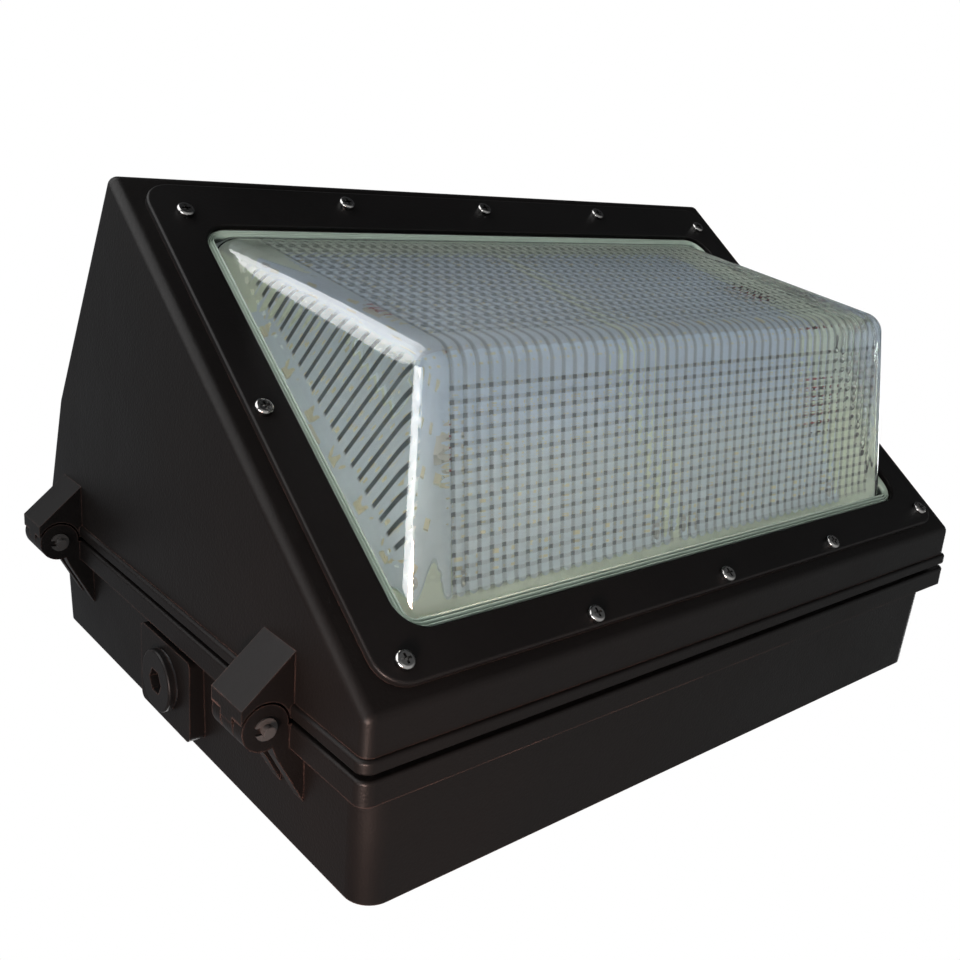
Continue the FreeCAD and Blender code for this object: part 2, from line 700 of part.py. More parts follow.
def make_glass():
    flange_low = -lens_seal_high_thick - glass_flange_thick
    body = wedge(0.0, -lens_seal_high_thick - past)
    rising = [e for e in body.Edges if e.BoundBox.ZMax > past]
    body = body.makeFillet(glass_round, rising)
    flange = slope_rect(window_half_width + glass_clamp, window_low - glass_clamp, window_high - glass_clamp,
                        window_corner, flange_low, -lens_seal_high_thick)
    hollow = wedge(glass_wall, flange_low - past)
    inner = [e for e in hollow.Edges if e.BoundBox.ZMax > past]
    hollow = hollow.makeFillet(glass_round - glass_wall, inner)
    return on_slope(body.fuse(flange).cut(hollow).removeSplitter())


def lens_seal(inner_half, inner_low, inner_high, z0, z1):
    ring = slope_rect(window_half_width + glass_clamp, window_low - glass_clamp, window_high - glass_clamp,
                      window_corner, z0, z1)
    hole = slope_rect(inner_half, inner_low, inner_high, lens_seal_corner, z0 - past, z1 + past)
    return on_slope(ring.cut(hole))


def make_lens_seals():
    seat = seat_depth()
    lower = lens_seal(opening_half_width + lens_seal_setback, opening_low - lens_seal_setback,
                      opening_high - lens_seal_setback, seat, seat + lens_seal_low_thick)
    upper = lens_seal(window_half_width + seal_side_gap, window_low - seal_side_gap,
                      window_high - seal_side_gap, -lens_seal_high_thick, 0)
    return lower, upper


# ---- light engine --------------------------------------------------------------------------------
def tray_floor_rect():
    """Half width and y limits of the tray's floor, in the slope frame."""
    inset = tray_slant + tray_floor_step
    return opening_half_width - inset, opening_low + inset, slope_length - opening_high - inset


def tray_funnel(grow, z_floor, z_top):
    half, low, high = tray_floor_rect()
    middle, reach = (low + high) / 2, (high - low) / 2
    funnel = frustum(half + grow, reach + grow, opening_corner, z_floor,
                     half + grow + tray_slant, reach + grow + tray_slant, opening_corner, z_top)
    funnel.translate(Vector(0, middle, 0))
    return funnel


def board_spans():
    """x limits of the two boards."""
    return {"left": (-board_half_span, -board_gap / 2), "right": (board_gap / 2, board_half_span)}


def board_rows():
    low, high = tray_floor_rect()[1:]
    return low + board_margin, high - board_margin


def board_screw_places(side):
    x0, x1 = board_spans()[side]
    y0, y1 = board_rows()
    return [(x, y) for x in (x0 + board_screw_inset, x1 - board_screw_inset)
            for y in (y0 + board_screw_inset, y1 - board_screw_inset)]


def bracket_screw_places():
    reach_x = bracket_half_length - bracket_screw_inset_x
    reach_y = bracket_half_width - bracket_screw_inset_y
    return [(x, mid_slope + y) for x in (-reach_x, reach_x) for y in (-reach_y, reach_y)]


def driver_screw_places():
    reach = driver_half_length + driver_tab_length / 2
    return [(-reach, mid_slope), (reach, mid_slope)]


def make_tray():
    land = -housing_wall - land_thick
    flange = plate(-tray_flange_half_width, tray_flange_half_width, tray_flange_low,
                   slope_length - tray_flange_high, tray_flange_corner, land - sheet, land)
    outer = tray_funnel(sheet, tray_floor - sheet, land - sheet / 2)
    inner = tray_funnel(0.0, tray_floor, land + past)
    cuts = [inner]
    cuts += [rod(small_screw_radius + small_screw_gap, x, y, land - sheet - past, land + past)
             for x, y in tray_screw_places()]
    low, high = tray_floor - sheet - past, tray_floor + past
    for side in ("left", "right"):
        cuts += [rod(small_screw_radius, x, y, low, high) for x, y in board_screw_places(side)]
    cuts += [rod(grommet_radius, x, mid_slope, low, high) for x in (-lead_x, lead_x)]
    return on_slope(outer.fuse(flange).cut(cuts).removeSplitter())


def make_spreader():
    half, low, high = tray_floor_rect()
    top = tray_floor - sheet
    body = plate(-spreader_half_width, spreader_half_width, low + spreader_margin, high - spreader_margin,
                 spreader_corner, top - spreader_thick, top)
    holes = [rod(small_screw_radius, x, y, top - spreader_thick + spreader_skin, top + past)
             for side in ("left", "right") for x, y in board_screw_places(side)]
    holes += [rod(small_screw_radius, x, y, top - spreader_thick - past, top - spreader_skin)
              for x, y in bracket_screw_places()]
    return on_slope(body.cut(holes))


def make_board(side):
    x0, x1 = board_spans()[side]
    y0, y1 = board_rows()
    top = tray_floor + board_thick
    body = plate(x0, x1, y0, y1, board_corner, tray_floor, top)
    holes = [rod(small_screw_radius + small_screw_gap, x, y, tray_floor - past, top + past)
             for x, y in board_screw_places(side)]
    return on_slope(body.cut(holes))


def make_emitters(side):
    x0, x1 = board_spans()[side]
    y0, y1 = board_rows()
    base = tray_floor + board_thick
    half = emitter_size / 2
    chips = []
    for column in range(emitter_columns):
        for row in range(emitter_rows):
            x = x0 + (x1 - x0) * (column + 0.5) / emitter_columns
            y = y0 + (y1 - y0) * (row + 0.5) / emitter_rows
            chips.append(box(x - half, x + half, y - half, y + half, base, base + emitter_thick))
    return on_slope(Part.makeCompound(chips))


def make_board_screws():
    seat = tray_floor + board_thick
    tip = tray_floor - sheet - spreader_thick + spreader_skin + small_end_room
    places = board_screw_places("left") + board_screw_places("right")
    screws = [pan_screw(x, y, seat, small_head_radius, small_head_thick, small_screw_radius, tip)
              for x, y in places]
    return on_slope(Part.makeCompound(screws))


def make_tray_screws():
    seat = -housing_wall - land_thick - sheet
    screws = [pan_screw(x, y, seat, small_head_radius, small_head_thick, small_screw_radius, tray_screw_tip())
              for x, y in tray_screw_places()]
    return on_slope(Part.makeCompound(screws))


def bracket_face():
    """Slope-frame z of the driver bracket's rear face, where the driver sits."""
    return tray_floor - sheet - spreader_thick - bracket_thick


def make_bracket():
    rear = bracket_face()
    body = plate(-bracket_half_length, bracket_half_length, mid_slope - bracket_half_width,
                 mid_slope + bracket_half_width, bracket_corner, rear, rear + bracket_thick)
    lip_low = driver_half_width + bracket_lip_gap
    lip_high = lip_low + bracket_lip_thick
    lips = [box(-driver_half_length, driver_half_length, mid_slope + y0, mid_slope + y1,
                rear - bracket_lip_height, rear + bracket_thick / 2)
            for y0, y1 in ((-lip_high, -lip_low), (lip_low, lip_high))]
    low, high = rear - past, rear + bracket_thick + past
    holes = [rod(small_screw_radius + small_screw_gap, x, y, low, high) for x, y in bracket_screw_places()]
    holes += [rod(small_screw_radius, x, y, low, high) for x, y in driver_screw_places()]
    return on_slope(fuse_all([body] + lips).cut(holes))


def make_bracket_screws():
    rear = bracket_face()
    tip = tray_floor - sheet - spreader_skin - small_end_room
    screws = [pan_screw(x, y, rear, small_head_radius, small_head_thick, small_screw_radius, tip)
              for x, y in bracket_screw_places()]
    return on_slope(Part.makeCompound(screws))


def make_driver():
    rear = bracket_face()
    body = box(-driver_half_length, driver_half_length, mid_slope - driver_half_width,
               mid_slope + driver_half_width, rear - driver_thick, rear)
    body = body.makeFillet(driver_corner, edges_along(body, Vector(0, 0, 1)))
    reach = driver_half_length + driver_tab_length
    tab = plate(-reach, reach, mid_slope - driver_tab_half_width, mid_slope + driver_tab_half_width,
                driver_corner, rear - driver_tab_thick, rear)
    holes = [rod(small_screw_radius + small_screw_gap, x, y, rear - driver_tab_thick - past, rear + past)
             for x, y in driver_screw_places()]
    return on_slope(body.fuse(tab).cut(holes).removeSplitter())


def make_driver_screws():
    rear = bracket_face()
    screws = [pan_screw(x, y, rear - driver_tab_thick, small_head_radius, small_head_thick,
                        small_screw_radius, rear + bracket_thick) for x, y in driver_screw_places()]
    return on_slope(Part.makeCompound(screws))


def terminal_ports():
    pitch = terminal_width / terminal_ways
    return [mid_slope + (index - (terminal_ways - 1) / 2) * pitch for index in range(terminal_ways)]


def make_terminal_block():
    rear = bracket_face()
    x0, x1 = terminal_x, terminal_x + terminal_length
    top, middle = rear - terminal_thick, rear - terminal_thick / 2
    body = box(x0, x1, mid_slope - terminal_width / 2, mid_slope + terminal_width / 2, top, rear)
    body = body.makeFillet(terminal_edge_round, edges_along(body, Vector(0, 0, 1)))
    cuts = []
    for y in terminal_ports():
        cuts.append(rod(terminal_well_radius, (x0 + x1) / 2, y, top - past, top + terminal_well_depth))
        cuts.append(cylinder(terminal_port_radius, Vector(x1 - terminal_port_depth, y, middle),
                             Vector(x1 + past, y, middle)))
    return on_slope(body.cut(cuts))


def make_terminal_screws():
    seat = bracket_face() - terminal_thick + terminal_well_depth
    top = seat - terminal_screw_thick
    x = terminal_x + terminal_length / 2
    reach, half_slot = terminal_screw_radius + past, terminal_slot_width / 2
    screws = []
    for y in terminal_ports():
        slot = box(x - reach, x + reach, y - half_slot, y + half_slot, top - past, top + terminal_slot_depth)
        screws.append(rod(terminal_screw_radius, x, y, top, seat).cut(slot))
    return on_slope(Part.makeCompound(screws))


def make_supply_leads():
    """Short jumpers from the driver to the terminal block."""
    z = bracket_face() - terminal_thick / 2
    leads = [cylinder(lead_radius, Vector(driver_half_length, y, z), Vector(terminal_x, y, z))
             for y in terminal_ports()]
    return on_slope(Part.makeCompound(leads))


def tube(route, radius):
    """Round lead along straight runs joined by tangent arcs as large as the runs allow."""
    edges, last = [], route[0]
    for before, corner, after in zip(route, route[1:], route[2:]):
        into, out = (corner - before), (after - corner)
        shorter = min(into.Length, out.Length)
        turn = into.getAngle(out)
        setback = lead_bend_share * shorter
        bend = setback / math.tan(turn / 2)
        into.normalize()
        out.normalize()
        start, end = corner - into * setback, corner + out * setback
        inward = (out - into).normalize()
        middle = corner + inward * (bend / math.cos(turn / 2) - bend)
        edges.append(Part.LineSegment(last, start).toShape())
        edges.append(Part.Arc(start, middle, end).toShape())
        last = end
    edges.append(Part.LineSegment(last, route[-1]).toShape())
    path = Part.Wire(edges)
    ring = Part.Wire([Part.makeCircle(radius, route[0], route[1] - route[0])])
    return path.makePipeShell([ring], True, False)


def lead_route(side, y):
    sign = -1 if side == "left" else 1
    back = bracket_face() - lead_driver_offset
    front = tray_floor + board_thick + lead_board_height
    connector_x = connector_face_x()
    return [Vector(sign * driver_half_length, y, back), Vector(sign * lead_x, y, back),
            Vector(sign * lead_x, y, front), Vector(sign * connector_x, y, front)]


def connector_face_x():
    """Distance from the middle to the outer face of each board connector."""
    return board_half_span - connector_inset


def make_led_leads(side):
    leads = [tube(lead_route(side, mid_slope + offset), lead_radius)
             for offset in (-lead_spacing / 2, lead_spacing / 2)]
    return on_slope(Part.makeCompound(leads))


def make_connector(side):
    base = tray_floor + board_thick
    x0, x1 = connector_face_x() - connector_length, connector_face_x()
    if side == "left":
        x0, x1 = -x1, -x0
    body = box(x0, x1, mid_slope - connector_width / 2, mid_slope + connector_width / 2,
               base, base + connector_thick)
    return on_slope(body.makeFillet(connector_edge_round, edges_along(body, Vector(0, 0, 1))))


def make_lead_grommets():
    rings = []
    for x in (-lead_x, lead_x):
        body = rod(grommet_radius, x, mid_slope, tray_floor - sheet, tray_floor)
        lip_top = tray_floor + grommet_lip_thick
        lip = rod(grommet_radius + grommet_lip, x, mid_slope, tray_floor, lip_top)
        bore = rod(grommet_bore, x, mid_slope, tray_floor - sheet - past, lip_top + past)
        rings.append(body.fuse(lip).cut(bore))
    return on_slope(Part.makeCompound(rings))


# ---- hinge pins and closure screws ---------------------------------------------------------------
def make_hinge_pin(low, high):
    head = cylinder(pin_head_radius, Vector(pivot_x, high, pivot_depth),
                    Vector(pivot_x, high + pin_head_thick, pivot_depth))
    shank = cylinder(pin_radius, Vector(pivot_x, low - pin_tail, pivot_depth),
                     Vector(pivot_x, high + shank_bite, pivot_depth))
    groove = clip_ring(low, pin_radius + past, clip_groove_radius)
    return head.fuse(shank).cut(groove).removeSplitter()


def clip_ring(low, outer, inner):
    start = Vector(pivot_x, low - clip_thick, pivot_depth)
    end = Vector(pivot_x, low, pivot_depth)
    return cylinder(outer, start, end).cut(cylinder(inner, start, end))


def make_hinge_clip(low):
    ring = clip_ring(low, clip_radius, clip_groove_radius)
    half_mouth = clip_groove_radius * clip_mouth_share
    mouth = box(pivot_x - clip_radius - past, pivot_x, low - clip_thick - past, low + past,
                pivot_depth - half_mouth, pivot_depth + half_mouth)
    return ring.cut(mouth)


def make_closure_screw(low, high):
    middle = (low + high) / 2
    top = closure_seat_depth + closure_head_thick
    head = rod(closure_head_radius, closure_x, middle, closure_seat_depth, top)
    head = head.makeFillet(closure_head_round, edges_at_depth(head, top))
    reach, half_slot = closure_head_radius + past, closure_slot_width / 2
    slot = box(closure_x - reach, closure_x + reach, middle - half_slot, middle + half_slot,
               top - closure_slot_depth, top + past)
    shank = rod(closure_shank_radius, closure_x, middle, closure_tip_depth, closure_seat_depth + shank_bite)
    shank = shank.makeChamfer(closure_tip_chamfer, edges_at_depth(shank, closure_tip_depth))
    return head.cut(slot).fuse(shank).removeSplitter()


def make_closure_ring(low, high):
    middle = (low + high) / 2
    top = ring_depth + ring_thick
    ring = rod(ring_radius, closure_x, middle, ring_depth, top)
    return ring.cut(rod(closure_shank_radius, closure_x, middle, ring_depth - past, top + past))


def main():
    os.makedirs("parts", exist_ok=True)
    export("back_box", make_back_box())
    export("box_gasket", make_box_gasket())
    export("wire_entry_grommet", make_wire_grommet())
    ground_screw, ground_washer = make_ground_screw()
    export("ground_screw", ground_screw)
    export("ground_washer", ground_washer)
    plug, seal = make_plug_left()
    for side, move in (("left", lambda s: s), ("right", mirror_x), ("top", to_top_hub)):
        export("conduit_plug_" + side, move(plug))
        export("plug_seal_" + side, move(seal))
    export("front_housing", make_front_housing())
    export("lens_bezel", make_bezel())
    export("bezel_screws", make_bezel_screws())
    export("glass_refractor", make_glass())
    lower, upper = make_lens_seals()
    export("lens_seal_lower", lower)
    export("lens_seal_upper", upper)
    export("reflector_tray", make_tray())
    export("reflector_screws", make_tray_screws())
    export("heat_spreader", make_spreader())
    for side in ("left", "right"):
        export("led_board_" + side, make_board(side))
        export("led_emitters_" + side, make_emitters(side))
        export("led_connector_" + side, make_connector(side))
        export("led_leads_" + side, make_led_leads(side))
    export("led_board_screws", make_board_screws())
    export("lead_grommets", make_lead_grommets())
    export("driver_bracket", make_bracket())
    export("bracket_screws", make_bracket_screws())
    export("led_driver", make_driver())
    export("driver_screws", make_driver_screws())
    export("terminal_block", make_terminal_block())
    export("terminal_screws", make_terminal_screws())
    export("supply_leads", make_supply_leads())
    for place, (low, high) in lug_spans.items():
        export("hinge_pin_" + place, make_hinge_pin(low, high))
        export("hinge_clip_" + place, make_hinge_clip(low))
        export("closure_screw_" + place, make_closure_screw(low, high))
        export("closure_ring_" + place, make_closure_ring(low, high))


main()
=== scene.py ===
"""Look of the wall pack light: materials, ribbed glass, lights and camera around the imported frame.

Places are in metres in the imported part's frame: +Z up as mounted, the front faces -Y.
The glass is drawn in the slope frame, in millimetres: x right, t up the sloping face from its bottom
edge, n out of it.
"""
import bmesh
import bpy
import json
import math
import numpy as np
from mathutils import Matrix, Vector


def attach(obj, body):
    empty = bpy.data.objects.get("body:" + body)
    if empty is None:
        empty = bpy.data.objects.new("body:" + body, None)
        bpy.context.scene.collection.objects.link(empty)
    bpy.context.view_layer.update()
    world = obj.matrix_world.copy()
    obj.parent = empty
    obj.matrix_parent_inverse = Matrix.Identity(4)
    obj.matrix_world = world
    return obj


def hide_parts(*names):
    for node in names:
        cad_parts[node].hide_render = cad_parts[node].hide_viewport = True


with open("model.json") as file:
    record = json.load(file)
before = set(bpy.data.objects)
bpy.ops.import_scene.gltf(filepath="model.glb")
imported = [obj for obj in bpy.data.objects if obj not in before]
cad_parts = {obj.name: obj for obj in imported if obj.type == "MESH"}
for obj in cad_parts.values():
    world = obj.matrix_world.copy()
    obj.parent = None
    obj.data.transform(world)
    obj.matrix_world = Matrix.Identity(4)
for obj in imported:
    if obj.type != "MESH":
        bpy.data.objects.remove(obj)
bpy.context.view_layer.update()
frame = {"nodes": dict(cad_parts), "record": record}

MM = 0.001
TINY = 1e-6                                 # keeps divisions away from zero
WHITE = (1.0, 1.0, 1.0)

# ---- sizes repeated from the CAD, in millimetres ------------------------------------------------------
HALF_HEIGHT = 141.0
FACE_LOW_DEPTH = 73.5
FACE_RISE, FACE_RUN = 192.5, 146.5
SLOPE_LENGTH = math.hypot(FACE_RISE, FACE_RUN)
SLOPE_COS, SLOPE_SIN = FACE_RISE / SLOPE_LENGTH, FACE_RUN / SLOPE_LENGTH
FOOT_HALF_WIDTH = 148.0
FOOT_LOW, FOOT_HIGH = 30.0, SLOPE_LENGTH - 35.5
RIDGE_UP, RIDGE_HEIGHT, RIDGE_HALF = 91.5, 62.0, 140.5
GLASS_WALL, GLASS_ROUND = 4.5, 10.5
WINDOW_HALF_WIDTH = 153.0
WINDOW_LOW, WINDOW_HIGH = 24.7, SLOPE_LENGTH - 31.5
CLAMP = 4.5                                 # how far the foot reaches under the bezel
FLANGE_TOP, FLANGE_BOTTOM = -1.1, -5.1
FRONT_LEAN = math.atan2(RIDGE_HEIGHT, RIDGE_UP - FOOT_LOW)
BACK_LEAN = math.atan2(RIDGE_HEIGHT, FOOT_HIGH - RIDGE_UP)
SIDE_LEAN = math.atan2(FOOT_HALF_WIDTH - RIDGE_HALF, RIDGE_HEIGHT)

# ---- relief of the pressed glass, in millimetres; pairs are where a fade starts and ends ----------------
FLUTE_PITCH, FLUTE_HEIGHT = 5.6, 0.95
FLUTES_HALF = 23 * FLUTE_PITCH
FLUTES_FADE = 2.5
ROW_PITCH, ROW_HEIGHT = 4.65, 0.62
ROWS_FADE_ACROSS, ROWS_FADE_RUN = (128.0, 133.0), (9.0, 12.0)
FOOT_FADE = (1.0, 5.0)
SIDE_PITCH, SIDE_HEIGHT = 5.7, 0.8
SIDE_FOOT_FADE, SIDE_LOW_FADE = (1.0, 4.0), (40.0, 46.0)
SIDE_EDGE_FADE = (0.74, 0.86)               # in shares of the way from the foot to the edge

# ---- meshes of the pressed glass: number of points -----------------------------------------------------
PROJECTION_ROUNDS = 160
FLUTE_COLUMNS = 8                           # for each flute
OUTER_MIDDLE, OUTER_END_COLUMNS = 0.93, 12  # share of the width with close columns, points at each end
OUTER_ROWS = (48, 60, 26)                   # front, top, sides
INNER_MIDDLE, INNER_COLUMNS, INNER_END_COLUMNS = 0.92, 24, 10
INNER_ROWS = (210, 300, 22)
FACE_EASE, SIDE_EASE = 0.35, 0.5            # how much rows draw together near their ends
BODY_WELD, FOOT_WELD = 0.00002, 0.00001     # in metres

# ---- the glass's foot, in millimetres ------------------------------------------------------------------
BEADS, BEAD_STEPS = 3, 8
BEAD_HEIGHT, BEAD_GROOVE = 3.2, 1.6
BODY_GAP, LIP_GAP = 0.25, 0.6               # free space at the body and at the bezel's lip
FOOT_CORNER, CORNER_GROWTH, CORNER_GROWS_TO = 2.5, 1.9, 5.0
CORNER_STEPS = 12

# ---- shade in the glass's grooves; pairs are where a ramp starts and ends --------------------------------
TOP_ROW_PITCH = 7.6
SQUARE_RAMP, DIAMOND_RAMP = (0.10, 0.62), (0.05, 0.55)      # in heights of a wave
LINE_RAMP, BAR_RAMP = (0.10, 0.90), (0.30, 0.80)
DOT_SHADE, DIAMOND_SHARE, LINE_SHADE, ROW_SHADE, BAR_SHADE = 0.95, 0.8, 0.58, 0.36, 0.97
ROWS_START = (11.0, 12.5)                   # from the ridge
FLUTES_END = (FLUTES_HALF + 0.8, FLUTES_HALF + 1.8)
SHADE_ABOVE_FOOT, BARS_ABOVE_FOOT = (1.0, 3.5), (8.0, 10.0)
BARS_EDGE = (0.86, 0.93)                    # in shares of the way from the foot to the edge
ON_SIDE = (FOOT_HALF_WIDTH - 2.0, FOOT_HALF_WIDTH - 0.8)
TINT_RISE = (26.0, 50.0)                    # above the foot, from the low to the high tint
ON_BEAD = (0.8, 2.2)                        # above the groove's floor
GLASS_IOR, FOOT_CLEARNESS = 1.47, 0.35

# ---- powder coat, polish, plastic and metal ------------------------------------------------------------
NOISE_RANGE = (0.3, 0.7)                    # where most of a noise lies
DUST_RANGE, DUST_SHARE, DUST_LIFT = (0.62, 0.78), 0.35, (2.6, 2.1, 1.9)
COAT_CLOUD, METAL_STAIN = 0.72, 0.12
COAT_SPECULAR = 0.07
COAT_GLOSS, PLASTIC_GLOSS = (-0.05, 0.07), (-0.05, 0.08)    # added to the roughness
POLISH_GLOSS, METAL_GLOSS = (0.6, 1.6), (0.7, 1.4)          # times the roughness
EDGE_HIGHLIGHT_RANGE = (0.2, 1.0)                   # strength of the painted edge highlight, from patch to patch
SWELL_SHARE = 1.5                           # height of the slow swell, in heights of the grain
SCRATCH_DEPTH, RIPPLE_DEPTH, FLUTED_RIPPLE_DEPTH = 0.00003, 0.00003, 0.00002    # in metres
EDGE_REACH, EDGE_SAMPLES = 0.0009, 4        # reach in metres
EDGE_TURN = (0.86, 0.985)                   # cosines between the flat and the rounded normal
# painted highlight: a lighter warm brown laid along edges
EDGE_HIGHLIGHT_TONE = (0.024, 0.0145, 0.0120)

# ---- camera, lights, surroundings and floor, in metres and watts ------------------------------------------
LENS, SENSOR, CLIP = 39.07, 36.0, (0.01, 50.0)              # lens and sensor in millimetres
CAMERA_PLACE = (-0.33706, -0.23522, -0.36243)
CAMERA_RIGHT = (0.76563, -0.07773, -0.63856)
CAMERA_UP = (0.13109, -0.95299, 0.27318)
CAMERA_FORWARD = (0.62978, 0.29287, 0.71945)
MIDDLE = (0.0, -0.10, 0.0)
AREA_LIGHTS = (
    # name, place, target, width and height, power, colour
    ("key", (-0.95, -1.15, 0.45), MIDDLE, (1.9, 1.6), 56.0, WHITE),
    ("edge_strip", (-1.40, -0.07, -0.62), (-0.15, -0.14, -0.10), (0.8, 0.66), 24.0, WHITE),
    ("hip_strip", (-0.57, -1.00, 0.87), (-0.14, -0.19, -0.04), (1.0, 0.6), 1.0, (0.90, 0.94, 1.0)),
    ("far_fill", (1.3, 0.45, 0.25), MIDDLE, (0.8, 0.8), 12.0, WHITE),
    ("top_fill", (0.95, 0.35, 1.4), MIDDLE, (1.0, 1.0), 24.0, WHITE),
    ("back_fill", (0.4, 1.7, 0.3), MIDDLE, (1.0, 1.0), 24.0, WHITE),
)
SPOT_PLACE, SPOT_TARGET = (-0.62, 0.02, -0.50), (-0.186, -0.035, -0.146)
SPOT_CONE, SPOT_SOFTNESS, SPOT_POWER = 22.0, 0.10, 130.0    # cone in degrees
SPOT_COLOUR = (1.0, 0.68, 0.58)
WORLD_TINT = (0.93, 0.96, 1.0)
DARK_SIDE = (0.80, -0.55, -0.20)            # direction in which the surroundings are dimmer
WORLD_FALL = {"From Min": -0.3, "From Max": 0.8, "To Min": 0.32, "To Max": 0.08}
FLOOR_REACH, FLOOR_HEIGHT = 6.0, -1.2
FLOOR_PAINT, FLOOR_ROUGHNESS, FLOOR_SEEN = (0.80, 0.80, 0.79), 0.8, (0.84, 0.84, 0.835)


def from_slope(x, t, n):
    """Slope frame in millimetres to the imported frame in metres."""
    up = t * SLOPE_COS - n * SLOPE_SIN - HALF_HEIGHT
    depth = FACE_LOW_DEPTH + t * SLOPE_SIN + n * SLOPE_COS
    return np.stack([x * MM, -depth * MM, up * MM], axis=-1)


def rgba(red, green, blue):
    return (red, green, blue, 1.0)


# ---- node helpers -------------------------------------------------------------------------------------
class Nodes:
    """Short way to build one material's node tree; values are numbers or outputs."""

    def __init__(self, name):
        self.material = bpy.data.materials.new(name)
        self.material.use_nodes = True
        self.tree = self.material.node_tree
        self.shader = self.tree.nodes["Principled BSDF"]

    def add(self, kind, values=None, **settings):
        node = self.tree.nodes.new(kind)
        for key, value in settings.items():
            setattr(node, key, value)
        for key, value in (values or {}).items():
            node.inputs[key].default_value = value
        return node

    def link(self, source, target):
        self.tree.links.new(source, target)

    def feed(self, **outputs):
        """Links outputs to the shader's inputs; a name's _ stands for a space."""
        for key, output in outputs.items():
            self.link(output, self.shader.inputs[key.replace("_", " ")])

    def fix(self, **values):
        """Sets constants on the shader's inputs."""
        for key, value in values.items():
            self.shader.inputs[key.replace("_", " ")].default_value = value

    def coords(self):
        return self.add("ShaderNodeTexCoord").outputs["Object"]

    def noise(self, scale, detail, roughness=0.5, stretch=None):
        """Noise over the object's own coordinates, in waves a metre."""
        vector = self.coords()
        if stretch:
            mapping = self.add("ShaderNodeMapping", {"Scale": stretch})
            self.link(vector, mapping.inputs["Vector"])
            vector = mapping.outputs["Vector"]
        node = self.add("ShaderNodeTexNoise", {"Scale": scale, "Detail": detail, "Roughness": roughness})
        self.link(vector, node.inputs["Vector"])
        return node.outputs["Fac"]

    def stretched(self, source, source_range, low, high, **settings):
        """The source's range stretched to low..high."""
        node = self.add("ShaderNodeMapRange", {"From Min": source_range[0], "From Max": source_range[1],
                                               "To Min": low, "To Max": high}, **settings)
        self.link(source, node.inputs["Value"])
        return node.outputs["Result"]

    def spread(self, noise, low, high):
        """A noise stretched to low..high."""
        return self.stretched(noise, NOISE_RANGE, low, high)

    def ramp(self, value, low, high, rising=True):
        """0 to 1 between two values, or 1 to 0, smooth at both ends."""
        ends = (0.0, 1.0) if rising else (1.0, 0.0)
        return self.stretched(value, (low, high), *ends, interpolation_type="SMOOTHSTEP")

    def mix(self, factor, first, second):
        """Colour between two, each a colour or an output."""
        node = self.add("ShaderNodeMix", data_type="RGBA")
        colours = [socket for socket in node.inputs if socket.type == "RGBA"]
        self.link(factor, node.inputs["Factor"])
        for socket, value in zip(colours, (first, second)):
            if isinstance(value, tuple):
                socket.default_value = value
            else:
                self.link(value, socket)
        return next(socket for socket in node.outputs if socket.type == "RGBA")

    def cloudy(self, cloud, colour, share):
        """The colour, and where the cloud is thin only a share of it."""
        dull = tuple(channel * share for channel in colour)
        return self.mix(self.spread(cloud, 0.0, 1.0), rgba(*dull), rgba(*colour))

    def bump(self, height, distance, under=None):
        node = self.add("ShaderNodeBump", {"Strength": 1.0, "Distance": distance})
        self.link(height, node.inputs["Height"])
        if under is not None:
            self.link(under, node.inputs["Normal"])
        return node.outputs["Normal"]

    def maths(self, operation, *values):
        node = self.add("ShaderNodeMath", operation=operation)
        for socket, value in zip(node.inputs, values):
            if isinstance(value, (int, float)):
                socket.default_value = value
            else:
                self.link(value, socket)
        return node.outputs["Value"]

    def times(self, first, *others):
        for other in others:
            first = self.maths("MULTIPLY", first, other)
        return first

    def dot(self, vector, direction):
        """Dot product of an output with a direction or another output."""
        node = self.add("ShaderNodeVectorMath", operation="DOT_PRODUCT")
        self.link(vector, node.inputs[0])
        if isinstance(direction, tuple):
            node.inputs[1].default_value = direction
        else:
            self.link(direction, node.inputs[1])
        return node.outputs["Value"]

    def along(self, direction, start):
        """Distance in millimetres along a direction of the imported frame."""
        reach = self.dot(self.coords(), tuple(part / MM for part in direction))
        return self.maths("ADD", reach, start)

    def slope_t(self):
        return self.along((0.0, -SLOPE_SIN, SLOPE_COS),
                          HALF_HEIGHT * SLOPE_COS - FACE_LOW_DEPTH * SLOPE_SIN)

    def slope_n(self):
        return self.along((0.0, -SLOPE_COS, -SLOPE_SIN),
                          -HALF_HEIGHT * SLOPE_SIN - FACE_LOW_DEPTH * SLOPE_COS)

    def from_ridge(self, t, n, along_t, along_n):
        """Distance from the glass's ridge in a direction of the slope frame."""
        part = self.maths("MULTIPLY_ADD", n, along_n, -RIDGE_UP * along_t - RIDGE_HEIGHT * along_n)
        return self.maths("MULTIPLY_ADD", t, along_t, part)

    def wave(self, distance, pitch):
        """Cosine of a distance: 1 at each whole pitch."""
        return self.maths("COSINE", self.times(distance, 2 * math.pi / pitch))

    def edges(self):
        """1 on the object's outer and inner edges, 0 away from them."""
        rounded = self.add("ShaderNodeBevel", {"Radius": EDGE_REACH}, samples=EDGE_SAMPLES)
        flat = self.add("ShaderNodeNewGeometry")
        turn = self.dot(rounded.outputs["Normal"], flat.outputs["Normal"])
        return self.ramp(turn, *EDGE_TURN, rising=False)


